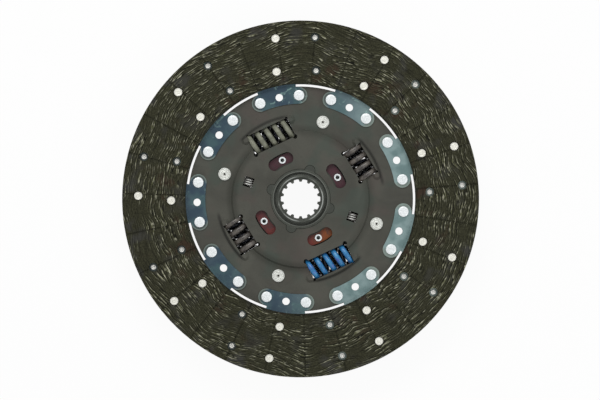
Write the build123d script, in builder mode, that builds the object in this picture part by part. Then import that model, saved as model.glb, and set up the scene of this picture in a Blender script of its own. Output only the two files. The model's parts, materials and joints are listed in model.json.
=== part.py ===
from build123d import *
from math import atan2, cos, degrees, hypot, radians, sin
import os

os.makedirs("parts", exist_ok=True)

# Clutch disc with a sprung hub, lying face up on the rear end of its hub.
# Millimetres and degrees. +Z is the hub axis, towards the face with the open spring windows.
# Angles run anticlockwise from +X, seen from that face.

# How far cutting and joining shapes run past what they cut or join
overlap = 1.0

# Hub, from its spline outwards
hub_rear_reach = 34.0
hub_front_reach = 6.5
spline_tooth_count = 14
spline_major_radius = 18.3
spline_tooth_height = 2.3
spline_minor_radius = spline_major_radius - spline_tooth_height
spline_tip_half_width = 1.0
spline_root_half_width = 2.2
spline_root_fillet = 0.9
first_spline_tooth_angle = 90.0
spline_entry_width = 1.6
spline_entry_depth = 2.2
hub_nose_radius = spline_major_radius + 4.0
hub_nose_chamfer = 1.5
hub_rear_radius = hub_nose_radius + 0.7
hub_rear_chamfer = 0.8
hub_journal_radius = hub_nose_radius + 2.2
journal_front_drop = 2.4
journal_rear_margin = 1.5
hub_ring_radius = hub_journal_radius + 4.0
hub_ring_gap = 0.3
ring_tooth_count = 8
ring_tooth_radius = hub_ring_radius + 3.0
ring_tooth_half_angle = 6.0
ring_end_gap = 0.1

# Bushes, thrust washer and cone spring
plate_bore_radius = hub_journal_radius + 2.5
friction_washer_thickness = 1.2
friction_washer_radius = plate_bore_radius + 7.5
bush_stand_out = 0.3
bush_lobe_count = 4
first_bush_lobe_angle = 72.0
bush_lobe_end_radius = 4.6
bush_lobe_radius = plate_bore_radius + 4.9
bush_fit_gap = 0.05
bush_edge_gap = 0.35
thrust_washer_thickness = 1.0
thrust_washer_bore_radius = plate_bore_radius + 0.4
cone_spring_thickness = 1.3
cone_spring_inner_radius = plate_bore_radius + 1.5
cone_spring_outer_radius = cone_spring_inner_radius + 14.5

# Idle damper: a cover plate riveted over a thin plate that turns with the hub
idle_angle = 3.0
idle_margin = 0.4
idle_plate_thickness = 2.0
idle_plate_gap = 0.1
idle_plate_radius = ring_tooth_radius + 3.0
idle_rivet_angles = (30.2, 115.3, 211.5, 294.6)
idle_rivet_distance = friction_washer_radius + 4.6
idle_rivet_shoulder_radius = 4.2
idle_rivet_tenon_radius = 2.6
idle_rivet_head_radius = 3.3
idle_rivet_head_height = 1.0
idle_rivet_bore_radius = 1.7
rivet_slot_width = 11.4
rivet_slot_length = 24.3
rivet_slot_offset = 2.5
cover_plate_thickness = 1.5
cover_plate_radius = idle_rivet_distance + 4.7
cover_plate_bore_radius = hub_journal_radius + 1.5
idle_spring_angles = (162.1, 341.0)
idle_spring_distance = idle_rivet_distance + 10.8
idle_spring_outer_radius = 4.8
idle_spring_wire = 1.2
idle_spring_pitch = 2.1
idle_spring_length = 8.8
idle_spring_drop = 1.2
idle_window_gap = 0.25
idle_opening_width = 8.7
idle_ear_half_angle = 10.5
idle_ear_radius = idle_spring_distance + 6.6

# Main damper springs, in straight windows, each with a left-handed spring inside it
spring_radius = idle_rivet_distance + 24.65
spring_outer_radius = 12.5
spring_wire = 5.2
large_spring_pitch = 8.5
small_spring_pitch = 8.6
inner_spring_gap = 0.4
inner_spring_wire = 2.5
inner_spring_pitch = 5.6
spring_end_gap = 0.1
large_spring_turns = (-127.0, -68.0)
small_spring_turns = (-50.0, 0.0)
large_window_length = 40.6
small_window_length = 31.0
large_window_angles = (115.1, 294.9)
small_window_angles = (31.4, 211.6)
window_outer_reach = 8.8
large_window_inner_reach = 9.9
small_window_inner_reach = 8.8
inner_relief_radius = 2.1
outer_relief_radius = 1.1
relief_inset = 0.7
retainer_window_outer_reach = 6.8
retainer_window_inner_reach = 7.4
spring_room_gap = 0.35
spring_lip_thickness = 1.8
spring_lip_start_angle = 113.0
spring_lip_end_angle = 150.0

# Disc plate and retainer plate
plate_thickness = 2.5
dish_radius = spring_radius - 1.05
dish_height = 1.5
dish_slope_width = 1.6
hood_height = 2.0
hood_radius = spring_radius + 9.25
hood_width = 8.0
hood_taper = 48.0
hood_end_reach = 2.8

# Stop pins that join the two plates
stop_pin_angles = (73.8, 161.9, 253.8, 341.9)
stop_pin_distance = spring_radius + 9.25
stop_body_radius = 5.5
stop_tenon_radius = 4.0
stop_head_radius = 5.85
stop_head_height = 1.6
stop_dimple_radius = 0.9
stop_dimple_depth = 0.6

# Drive flange, with the way that the damper lets it turn in the plates
flange_thickness = 7.0
flange_outer_radius = stop_pin_distance + 8.0
flange_window_gap = 0.5
late_spring_angle = 2.5
main_drive_angle = 9.0
main_coast_angle = 6.5
stop_notch_floor = stop_pin_distance - 6.5
stop_notch_margin = 0.6
retainer_plate_radius = flange_outer_radius + 3.0

# Feet of the cushion segments, and the rivets that hold them to the disc plate
segment_count = 9
first_foot_angle = 21.9
foot_radius = stop_pin_distance + 21.6
foot_width = 15.2
foot_hole_radius = 3.4
segment_rivet_half_angle = 11.05
segment_head_radius = 4.85
segment_head_height = 1.4
segment_shank_radius = 3.0
segment_tail_radius = 4.4
segment_tail_height = 1.3
disc_plate_radius = foot_radius + 8.1

# Friction facings
facing_inner_radius = disc_plate_radius + 2.3
facing_width = 57.5
facing_outer_radius = facing_inner_radius + facing_width
facing_thickness = 4.0
groove_count = 27
groove_width = 1.3
groove_depth = 0.5
first_groove_angle = 4.9

# Necks and paddles of the cushion segments
segment_thickness = 0.9
segment_wave = 0.45
segment_ramp_width = 12.0
paddle_inner_radius = facing_inner_radius + 2.0
paddle_outer_radius = facing_outer_radius - 2.5
paddle_gap_angle = 1.3
paddle_offset_angle = 1.0
neck_start_radius = paddle_inner_radius - 3.5
neck_end_radius = paddle_inner_radius + 3.0
neck_angle = 19.8
foot_to_rivets_angle = 10.0

# Rivets that hold the facings to the segments, in a rectangle on each segment
rivet_near_distance = paddle_inner_radius + 9.6
rivet_far_distance = paddle_outer_radius - 13.1
rivet_side_distance = 18.05
facing_head_radius = 3.85
facing_head_height = 0.9
facing_shank_radius = 2.0
facing_tail_radius = 2.5
facing_tail_height = 0.6
facing_tail_bore_radius = 1.2
facing_tail_bore_depth = 1.2
counterbore_radius = 4.4
counterbore_depth = 2.2
access_hole_radius = 4.0

# Levels above the hub's rear end, worked out from the stack of parts
middle = hub_rear_reach
segment_front = middle + segment_thickness / 2
segment_rear = middle - segment_thickness / 2
front_facing_back = segment_front + segment_wave
rear_facing_back = segment_rear - segment_wave
rim_front = segment_rear
rim_rear = rim_front - plate_thickness
dish_front = rim_front + dish_height
dish_rear = rim_rear + dish_height
cover_front = dish_rear - friction_washer_thickness
cover_rear = cover_front - cover_plate_thickness
idle_plate_front = cover_rear - idle_plate_gap
idle_plate_rear = idle_plate_front - idle_plate_thickness
flange_front = idle_plate_rear - idle_plate_gap
spring_level = flange_front - flange_thickness / 2
flange_rear = flange_front - flange_thickness
retainer_rim_front = 2 * spring_level - rim_rear
retainer_rim_rear = retainer_rim_front - plate_thickness
retainer_dish_front = retainer_rim_front - dish_height
retainer_dish_rear = retainer_rim_rear - dish_height
rear_washer_rear = flange_rear - friction_washer_thickness
thrust_washer_rear = rear_washer_rear - thrust_washer_thickness
idle_spring_level = (idle_plate_front + idle_plate_rear) / 2 - idle_spring_drop
hub_front = middle + hub_front_reach

segment_pitch = 360 / segment_count
idle_window_length = idle_spring_length + 2 * spring_end_gap
idle_window_width = 2 * (idle_spring_outer_radius + idle_window_gap)
first_rivets_angle = first_foot_angle - foot_to_rivets_angle
facing_middle_radius = facing_inner_radius + facing_width / 2

# Each ring of facing rivets is a radius and the angle of its first rivet
front_rivet_rings = []
rear_rivet_rings = []
for distance in (rivet_near_distance, rivet_far_distance):
    ring_radius = hypot(distance, rivet_side_distance)
    side_angle = degrees(atan2(rivet_side_distance, distance))
    front_rivet_rings.append((ring_radius, first_rivets_angle + side_angle))
    rear_rivet_rings.append((ring_radius, first_rivets_angle - side_angle))


def polar(radius, angle):
    return (radius * cos(radians(angle)), radius * sin(radians(angle)))


def level(height):
    return Plane.XY.offset(height)


def upright(angle):
    """A plane through the hub axis: its x is the radius at this angle, and its y is the height."""
    return Plane((0, 0, 0), x_dir=(*polar(1, angle), 0), z_dir=(*polar(1, angle - 90), 0))


def finish(piece, name):
    """Labels a piece and writes its file."""
    piece.label = name
    export_step(piece, f"parts/{name}.step")


def sector(inner_radius, outer_radius, start_angle, end_angle, mode=Mode.ADD):
    """Adds a ring sector to the sketch being built."""
    span = end_angle - start_angle
    with BuildLine() as edge:
        CenterArc((0, 0), outer_radius, start_angle, span)
        CenterArc((0, 0), inner_radius, start_angle, span)
        Line(polar(inner_radius, start_angle), polar(outer_radius, start_angle))
        Line(polar(inner_radius, end_angle), polar(outer_radius, end_angle))
    make_face(edge.edges(), mode=mode)


def arc_slot(radius, start_angle, end_angle, width, mode=Mode.ADD):
    """Adds a round-ended slot along an arc about the hub axis to the sketch being built."""
    with BuildLine(mode=Mode.PRIVATE) as centre_line:
        CenterArc((0, 0), radius, start_angle, end_angle - start_angle)
    SlotArc(centre_line.edge(), width, mode=mode)


def outline(*points):
    """Adds a straight-sided shape through the points to the sketch being built."""
    with BuildLine() as edge:
        Polyline(*points, close=True)
    make_face(edge.edges())


def discs(rings, radius, mode=Mode.ADD):
    """Adds a circle for each facing rivet of the given rings to the sketch being built."""
    for ring_radius, first_angle in rings:
        with PolarLocations(ring_radius, segment_count, first_angle):
            Circle(radius, mode=mode)


def circles(places, radius, mode=Mode.ADD):
    """Adds a circle at each place to the sketch being built."""
    with Locations(*places):
        Circle(radius, mode=mode)


def bush_shape(gap):
    """Adds the outline of a bush with its round-ended lobes, a gap larger, to the sketch being built."""
    Circle(plate_bore_radius + gap)
    lobe_middle = bush_lobe_radius - bush_lobe_end_radius
    with PolarLocations(lobe_middle / 2, bush_lobe_count, first_bush_lobe_angle):
        Rectangle(lobe_middle, 2 * (bush_lobe_end_radius + gap))
    with PolarLocations(lobe_middle, bush_lobe_count, first_bush_lobe_angle):
        Circle(bush_lobe_end_radius + gap)


def along_window(distance, angle, height):
    """A plane in the middle of a window, with its z along the window and its x pointing outwards."""
    window_middle = (*polar(distance, angle), height)
    return Plane(window_middle, x_dir=(*polar(1, angle), 0), z_dir=(*polar(1, angle + 90), 0))


# Friction facings and their rivets
def make_facing(back, outward, own_rings, other_rings):
    """One facing: counterbored for its own rivets, bored through over the tails of the other's."""
    face = back + outward * facing_thickness
    with BuildPart() as facing:
        with BuildSketch(level(back)):
            Circle(facing_outer_radius)
            Circle(facing_inner_radius, mode=Mode.SUBTRACT)
            discs(own_rings, facing_shank_radius, Mode.SUBTRACT)
            discs(other_rings, access_hole_radius, Mode.SUBTRACT)
        extrude(amount=outward * facing_thickness)
        with BuildSketch(level(face)):
            discs(own_rings, counterbore_radius)
        extrude(amount=-outward * counterbore_depth, mode=Mode.SUBTRACT)
        with BuildSketch(level(face)):
            with PolarLocations(facing_middle_radius, groove_count, first_groove_angle):
                Rectangle(facing_width + groove_width, groove_width)
        extrude(amount=-outward * groove_depth, mode=Mode.SUBTRACT)
    return facing.part


def make_facing_rivets(back, outward, rings):
    """The rivets of one facing: a flat head, a shank through facing and segment, and a hollow tail."""
    grip = facing_thickness - counterbore_depth + segment_thickness
    seat = back + outward * (grip - segment_thickness)
    tail = seat - outward * grip
    with BuildPart() as rivets:
        with BuildSketch(level(seat)):
            discs(rings, facing_head_radius)
        extrude(amount=outward * facing_head_height)
        with BuildSketch(level(seat)):
            discs(rings, facing_shank_radius)
        extrude(amount=-outward * grip)
        with BuildSketch(level(tail)):
            discs(rings, facing_tail_radius)
        extrude(amount=-outward * facing_tail_height)
        with BuildSketch(level(tail - outward * facing_tail_height)):
            discs(rings, facing_tail_bore_radius)
        extrude(amount=outward * facing_tail_bore_depth, mode=Mode.SUBTRACT)
    return rivets.part


finish(make_facing(front_facing_back, 1, front_rivet_rings, rear_rivet_rings), "front_facing")
finish(make_facing(rear_facing_back, -1, rear_rivet_rings, front_rivet_rings), "rear_facing")
finish(make_facing_rivets(front_facing_back, 1, front_rivet_rings), "front_facing_rivets")
finish(make_facing_rivets(rear_facing_back, -1, rear_rivet_rings), "rear_facing_rivets")


# Cushion segments: a foot on the disc plate, a neck, and a paddle pressed into a front and a rear land
def land(side):
    """Adds one land of the paddle to the sketch being built, on the side of the ramp that side gives."""
    half_span = (segment_pitch - paddle_gap_angle) / 2
    middle_angle = first_rivets_angle + paddle_offset_angle
    sector(paddle_inner_radius, paddle_outer_radius, middle_angle - half_span, middle_angle + half_span)
    reach = paddle_outer_radius
    with Locations(Location((0, 0), first_rivets_angle)):
        with Locations((reach, -side * reach + (side - 1) / 2 * segment_ramp_width)):
            Rectangle(2 * reach, 2 * reach, mode=Mode.SUBTRACT)


with BuildPart() as segment:
    with BuildSketch(level(segment_rear)):
        foot_start = first_foot_angle - segment_rivet_half_angle
        arc_slot(foot_radius, foot_start, foot_start + 2 * segment_rivet_half_angle, foot_width)
    extrude(amount=segment_thickness)
    neck_finish = first_rivets_angle + paddle_offset_angle + (segment_pitch - paddle_gap_angle) / 2
    with BuildSketch(upright(neck_finish - neck_angle)):
        outline(
            (foot_radius, segment_rear),
            (foot_radius, segment_front),
            (neck_start_radius, segment_front),
            (paddle_inner_radius, front_facing_back),
            (neck_end_radius, front_facing_back),
            (neck_end_radius, middle),
            (paddle_inner_radius, middle),
            (neck_start_radius, segment_rear),
        )
    revolve(axis=Axis.Z, revolution_arc=neck_angle)
    with BuildSketch(level(middle)):
        land(1)
    extrude(amount=segment_thickness)
    with BuildSketch(level(middle)):
        land(-1)
    extrude(amount=-segment_thickness)
    radial = (*polar(1, first_rivets_angle), 0)
    ramp_start = (*polar(paddle_inner_radius, first_rivets_angle), middle)
    with BuildSketch(Plane(ramp_start, x_dir=(*polar(1, first_rivets_angle + 90), 0), z_dir=radial)):
        outline(
            (0, 0),
            (0, segment_thickness),
            (-segment_ramp_width, 0),
            (-segment_ramp_width, -segment_thickness),
        )
    extrude(amount=paddle_outer_radius - paddle_inner_radius)
    with BuildSketch(level(rear_facing_back)):
        for ring_radius, first_angle in front_rivet_rings + rear_rivet_rings:
            circles([polar(ring_radius, first_angle)], facing_shank_radius)
        for side in (-1, 1):
            rivet_angle = first_foot_angle + side * segment_rivet_half_angle
            circles([polar(foot_radius, rivet_angle)], segment_shank_radius)
        circles([polar(foot_radius, first_foot_angle)], foot_hole_radius)
    extrude(amount=front_facing_back - rear_facing_back, mode=Mode.SUBTRACT)

for number in range(segment_count):
    finish(segment.part.rotate(Axis.Z, number * segment_pitch), f"cushion_segment_{number + 1}")

segment_rivet_rings = [
    (foot_radius, first_foot_angle - segment_rivet_half_angle),
    (foot_radius, first_foot_angle + segment_rivet_half_angle),
]
with BuildPart() as segment_rivets:
    with BuildSketch(level(segment_front)):
        discs(segment_rivet_rings, segment_head_radius)
    extrude(amount=segment_head_height)
    with BuildSketch(level(rim_rear)):
        discs(segment_rivet_rings, segment_shank_radius)
    extrude(amount=segment_front - rim_rear)
    with BuildSketch(level(rim_rear)):
        discs(segment_rivet_rings, segment_tail_radius)
    extrude(amount=-segment_tail_height)
finish(segment_rivets.part, "segment_rivets")


# Disc plate and retainer plate, which are alike round the springs
windows = [(angle, large_window_length) for angle in large_window_angles]
windows += [(angle, small_window_length) for angle in small_window_angles]
inner_reaches = 2 * [large_window_inner_reach] + 2 * [small_window_inner_reach]
stop_pin_places = [polar(stop_pin_distance, angle) for angle in stop_pin_angles]


def spring_window(angle, window_length, inner_reach, outer_reach, relief_radius):
    """Adds one window with its corner relief notches to the sketch being built."""
    end = window_length / 2 - relief_inset
    with PolarLocations(spring_radius, 1, angle):
        with Locations(((outer_reach - inner_reach) / 2, 0)):
            Rectangle(outer_reach + inner_reach, window_length)
        for reach, radius in ((-inner_reach, relief_radius), (outer_reach, outer_relief_radius)):
            with Locations((reach, end), (reach, -end)):
                Circle(radius)


def hood(angle, window_length):
    """Adds the round-ended arc that is pressed up over a spring's outer side to the sketch being built."""
    half_span = degrees((window_length / 2 + hood_end_reach) / hood_radius)
    arc_slot(hood_radius, angle - half_span, angle + half_span, hood_width)


def make_plate(inner_face, outward, plate_radius):
    """A dished plate with its hoods and bores. outward is the way that the dish stands out."""
    outer_face = inner_face + outward * plate_thickness
    rise = outward * dish_height
    slope_start = dish_radius + dish_slope_width / 2
    slope_end = dish_radius - dish_slope_width / 2
    with BuildPart() as plate:
        with BuildSketch(upright(0)):
            outline(
                (plate_radius, inner_face),
                (plate_radius, outer_face),
                (slope_start, outer_face),
                (slope_end, outer_face + rise),
                (plate_bore_radius / 2, outer_face + rise),
                (plate_bore_radius / 2, inner_face + rise),
                (slope_end, inner_face + rise),
                (slope_start, inner_face),
            )
        revolve(axis=Axis.Z)
        for angle, window_length in windows:
            with BuildSketch(level(outer_face)):
                hood(angle, window_length)
            extrude(amount=outward * hood_height, taper=hood_taper)
            with BuildSketch(level(inner_face)):
                hood(angle, window_length)
            extrude(amount=outward * hood_height, taper=hood_taper, mode=Mode.SUBTRACT)
        with BuildSketch(level(inner_face)):
            bush_shape(bush_edge_gap)
            circles(stop_pin_places, stop_tenon_radius)
        extrude(amount=outward * 3 * plate_thickness, mode=Mode.SUBTRACT)
    return plate.part


def spring_room():
    """Cuts the room of the coils from the plate being built, a small gap larger than they are."""
    for angle, window_length in windows:
        with Locations(along_window(spring_radius, angle, spring_level)):
            Cylinder(spring_outer_radius + spring_room_gap, window_length, mode=Mode.SUBTRACT)


with BuildPart() as disc_plate:
    add(make_plate(rim_rear, 1, disc_plate_radius))
    with BuildSketch(level(rim_rear)):
        for (angle, window_length), inner_reach in zip(windows, inner_reaches):
            spring_window(angle, window_length, inner_reach, window_outer_reach, inner_relief_radius)
        discs(segment_rivet_rings, segment_shank_radius)
        discs([(foot_radius, first_foot_angle)], foot_hole_radius)
        slot_half_angle = degrees((rivet_slot_length - rivet_slot_width) / 2 / idle_rivet_distance)
        for angle in idle_rivet_angles:
            slot_middle = angle + rivet_slot_offset
            slot_start = slot_middle - slot_half_angle
            arc_slot(idle_rivet_distance, slot_start, slot_middle + slot_half_angle, rivet_slot_width)
        for angle in idle_spring_angles:
            with PolarLocations(idle_spring_distance, 1, angle):
                Rectangle(idle_opening_width, idle_window_length)
    extrude(amount=2 * plate_thickness, mode=Mode.SUBTRACT)
    spring_room()
finish(disc_plate.part, "disc_plate")

# The retainer plate's windows are narrower: their inner edges are pressed into lips that hug the coils
with BuildPart() as retainer_plate:
    add(make_plate(retainer_rim_front, -1, retainer_plate_radius))
    with BuildSketch(level(retainer_rim_front)):
        reaches = (retainer_window_inner_reach, retainer_window_outer_reach)
        for angle, window_length in windows:
            spring_window(angle, window_length, *reaches, outer_relief_radius)
    extrude(amount=-2 * plate_thickness, mode=Mode.SUBTRACT)
    spring_room()
    lip_radius = spring_outer_radius + spring_room_gap
    for angle, window_length in windows:
        with BuildSketch(along_window(spring_radius, angle, spring_level)):
            lip_outer_radius = lip_radius + spring_lip_thickness
            sector(lip_radius, lip_outer_radius, spring_lip_start_angle, spring_lip_end_angle)
        extrude(amount=window_length / 2 - outer_relief_radius, both=True)
finish(retainer_plate.part, "retainer_plate")

with BuildPart() as stop_pins:
    with BuildSketch(level(retainer_rim_front)):
        circles(stop_pin_places, stop_body_radius)
    extrude(amount=rim_rear - retainer_rim_front)
    with BuildSketch(level(retainer_rim_rear)):
        circles(stop_pin_places, stop_tenon_radius)
    extrude(amount=rim_front - retainer_rim_rear)
    with BuildSketch(level(rim_front)):
        circles(stop_pin_places, stop_head_radius)
    extrude(amount=stop_head_height)
    with BuildSketch(level(retainer_rim_rear)):
        circles(stop_pin_places, stop_head_radius)
    extrude(amount=-stop_head_height)
    with BuildSketch(level(rim_front + stop_head_height)):
        circles(stop_pin_places, stop_dimple_radius)
    extrude(amount=-stop_dimple_depth, mode=Mode.SUBTRACT)
finish(stop_pins.part, "stop_pins")


# Coil springs
def make_spring(length, mean_radius, wire, pitch, sides, lefthand=False):
    """A spring along Z about the origin, of many-sided wire, with its ends ground flat."""
    run = length + 2 * wire
    with BuildPart() as coil:
        with BuildLine() as path:
            Helix(pitch, run, mean_radius, center=(0, 0, -run / 2), lefthand=lefthand)
        with BuildSketch(Plane(path.line @ 0, z_dir=path.line % 0)):
            RegularPolygon(wire / 2, sides)
        sweep(path=path.line, is_frenet=True)
        split(bisect_by=level(length / 2), keep=Keep.BOTTOM)
        split(bisect_by=level(-length / 2), keep=Keep.TOP)
    return coil.part


main_mean_radius = spring_outer_radius - spring_wire / 2
inner_mean_radius = spring_outer_radius - spring_wire - inner_spring_gap - inner_spring_wire / 2
main_springs = []
inner_springs = []
for length, pitch in ((large_window_length, large_spring_pitch), (small_window_length, small_spring_pitch)):
    fitted_length = length - 2 * spring_end_gap
    main_springs.append(make_spring(fitted_length, main_mean_radius, spring_wire, pitch, 12))
    inner_springs.append(
        make_spring(fitted_length, inner_mean_radius, inner_spring_wire, inner_spring_pitch, 6, True)
    )

large_spring_names = ("large_spring_olive", "large_spring_blue")
for name, angle, turn in zip(large_spring_names, large_window_angles, large_spring_turns):
    turned_spring = main_springs[0].rotate(Axis.Z, turn)
    finish(turned_spring.moved(along_window(spring_radius, angle, spring_level).location), name)

with BuildPart() as small_springs:
    for angle, turn in zip(small_window_angles, small_spring_turns):
        turned_spring = main_springs[1].rotate(Axis.Z, turn)
        add(turned_spring.moved(along_window(spring_radius, angle, spring_level).location))
finish(small_springs.part, "small_springs")

with BuildPart() as nested_springs:
    for spring, angles in zip(inner_springs, (large_window_angles, small_window_angles)):
        for angle in angles:
            add(spring.moved(along_window(spring_radius, angle, spring_level).location))
finish(nested_springs.part, "inner_springs")

# The tiny idle springs have plain ends
with BuildPart() as idle_spring:
    idle_spring_run = idle_spring_length - idle_spring_wire
    idle_mean_radius = idle_spring_outer_radius - idle_spring_wire / 2
    with BuildLine() as idle_path:
        Helix(idle_spring_pitch, idle_spring_run, idle_mean_radius, center=(0, 0, -idle_spring_run / 2))
    with BuildSketch(Plane(idle_path.line @ 0, z_dir=idle_path.line % 0)):
        RegularPolygon(idle_spring_wire / 2, 8)
    sweep(path=idle_path.line, is_frenet=True)

with BuildPart() as idle_springs:
    for angle in idle_spring_angles:
        add(idle_spring.part.moved(along_window(idle_spring_distance, angle, idle_spring_level).location))
finish(idle_springs.part, "idle_springs")


# Drive flange
late_reach = spring_radius * radians(late_spring_angle)
flange_windows = [(angle, large_window_length) for angle in large_window_angles]
flange_windows += [(angle, small_window_length + 2 * late_reach) for angle in small_window_angles]
idle_rivet_places = [polar(idle_rivet_distance, angle) for angle in idle_rivet_angles]
stop_half_angle = degrees(atan2(stop_body_radius, stop_notch_floor)) + stop_notch_margin


def idle_windows():
    """Cuts the windows of the idle springs from the sketch being built."""
    for angle in idle_spring_angles:
        with PolarLocations(idle_spring_distance, 1, angle):
            Rectangle(idle_window_width, idle_window_length, mode=Mode.SUBTRACT)


def ring_teeth(inner_radius, outer_radius, half_angle, mode=Mode.ADD):
    """Adds the teeth of the hub's ring, or the spaces for them, to the sketch being built."""
    for number in range(ring_tooth_count):
        angle = number * 360 / ring_tooth_count
        sector(inner_radius, outer_radius, angle - half_angle, angle + half_angle, mode)


with BuildPart() as drive_flange:
    with BuildSketch(level(flange_rear)):
        Circle(flange_outer_radius)
        Circle(hub_ring_radius + hub_ring_gap, mode=Mode.SUBTRACT)
        slot_half_angle = ring_tooth_half_angle + idle_angle + idle_margin
        ring_teeth(hub_ring_radius, ring_tooth_radius + hub_ring_gap, slot_half_angle, Mode.SUBTRACT)
        for angle, window_length in flange_windows:
            with PolarLocations(spring_radius, 1, angle):
                flange_window_width = 2 * (spring_outer_radius + flange_window_gap)
                Rectangle(flange_window_width, window_length, mode=Mode.SUBTRACT)
        for angle in stop_pin_angles:
            start_angle = angle - stop_half_angle - main_drive_angle
            end_angle = angle + stop_half_angle + main_coast_angle
            sector(stop_notch_floor, flange_outer_radius + overlap, start_angle, end_angle, Mode.SUBTRACT)
        circles(idle_rivet_places, idle_rivet_tenon_radius, Mode.SUBTRACT)
        idle_windows()
    extrude(amount=flange_thickness)
finish(drive_flange.part, "drive_flange")


# Idle damper
with BuildPart() as idle_plate:
    with BuildSketch(level(idle_plate_rear)):
        Circle(idle_plate_radius)
        for angle in idle_spring_angles:
            ear_half_angle = idle_ear_half_angle - idle_angle
            inner_radius = idle_plate_radius - overlap
            sector(inner_radius, idle_ear_radius, angle - ear_half_angle, angle + ear_half_angle)
        Circle(hub_ring_radius + bush_fit_gap, mode=Mode.SUBTRACT)
        ring_teeth(hub_ring_radius, ring_tooth_radius + bush_fit_gap, ring_tooth_half_angle, Mode.SUBTRACT)
        idle_windows()
    extrude(amount=idle_plate_thickness)
finish(idle_plate.part, "idle_plate")

with BuildPart() as idle_cover_plate:
    with BuildSketch(level(cover_rear)):
        Circle(cover_plate_radius)
        for angle in idle_spring_angles:
            inner_radius = cover_plate_radius - overlap
            sector(inner_radius, idle_ear_radius, angle - idle_ear_half_angle, angle + idle_ear_half_angle)
        Circle(cover_plate_bore_radius, mode=Mode.SUBTRACT)
        circles(idle_rivet_places, idle_rivet_tenon_radius, Mode.SUBTRACT)
        idle_windows()
    extrude(amount=cover_plate_thickness)
finish(idle_cover_plate.part, "idle_cover_plate")

with BuildPart() as idle_rivets:
    with BuildSketch(level(flange_front)):
        circles(idle_rivet_places, idle_rivet_shoulder_radius)
    extrude(amount=cover_rear - flange_front)
    with BuildSketch(level(flange_rear)):
        circles(idle_rivet_places, idle_rivet_tenon_radius)
    extrude(amount=cover_front - flange_rear)
    with BuildSketch(level(cover_front)):
        circles(idle_rivet_places, idle_rivet_head_radius)
    extrude(amount=idle_rivet_head_height)
    with BuildSketch(level(flange_rear)):
        circles(idle_rivet_places, idle_rivet_head_radius)
    extrude(amount=-idle_rivet_head_height)
    with BuildSketch(level(flange_rear - idle_rivet_head_height)):
        circles(idle_rivet_places, idle_rivet_bore_radius)
    extrude(amount=cover_front - flange_rear + 2 * idle_rivet_head_height, mode=Mode.SUBTRACT)
finish(idle_rivets.part, "idle_rivets")


# Bushes, thrust washer and cone spring
def make_bush(washer_face, washer_thickness, sleeve_end):
    """A bush with a friction washer at its inner end and lobes that lock in the plate's bore."""
    washer_back = washer_face + washer_thickness
    with BuildPart() as bush:
        with BuildSketch(level(washer_face)):
            Circle(friction_washer_radius)
        extrude(amount=washer_thickness)
        with BuildSketch(level(washer_back)):
            bush_shape(0)
        extrude(amount=sleeve_end - washer_back)
        with BuildSketch(level(washer_face)):
            Circle(hub_journal_radius + bush_fit_gap)
        extrude(amount=sleeve_end - washer_face, mode=Mode.SUBTRACT)
    return bush.part


finish(make_bush(cover_front, friction_washer_thickness, dish_front + bush_stand_out), "front_bush")

with BuildPart() as rear_bush:
    with BuildSketch(level(rear_washer_rear)):
        Circle(friction_washer_radius)
    extrude(amount=friction_washer_thickness)
    with BuildSketch(level(rear_washer_rear)):
        Circle(plate_bore_radius)
    extrude(amount=retainer_dish_front - rear_washer_rear)
    with BuildSketch(level(retainer_dish_front)):
        bush_shape(0)
    extrude(amount=retainer_dish_rear - bush_stand_out - retainer_dish_front)
    with BuildSketch(level(flange_rear)):
        Circle(hub_journal_radius + bush_fit_gap)
    extrude(amount=retainer_dish_rear - bush_stand_out - flange_rear, mode=Mode.SUBTRACT)
finish(rear_bush.part, "rear_bush")

with BuildPart() as thrust_washer:
    with BuildSketch(level(thrust_washer_rear)):
        Circle(friction_washer_radius)
        Circle(thrust_washer_bore_radius, mode=Mode.SUBTRACT)
    extrude(amount=thrust_washer_thickness)
finish(thrust_washer.part, "thrust_washer")

with BuildPart() as cone_spring:
    with BuildSketch(upright(0)):
        outline(
            (cone_spring_inner_radius, thrust_washer_rear),
            (cone_spring_outer_radius, retainer_dish_front + cone_spring_thickness),
            (cone_spring_outer_radius, retainer_dish_front),
            (cone_spring_inner_radius, thrust_washer_rear - cone_spring_thickness),
        )
    revolve(axis=Axis.Z)
finish(cone_spring.part, "cone_spring")


# Splined hub
ring_front = idle_plate_front
ring_rear = flange_rear + ring_end_gap
journal_front = dish_front - journal_front_drop
journal_rear = retainer_dish_rear - bush_stand_out - journal_rear_margin

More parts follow.
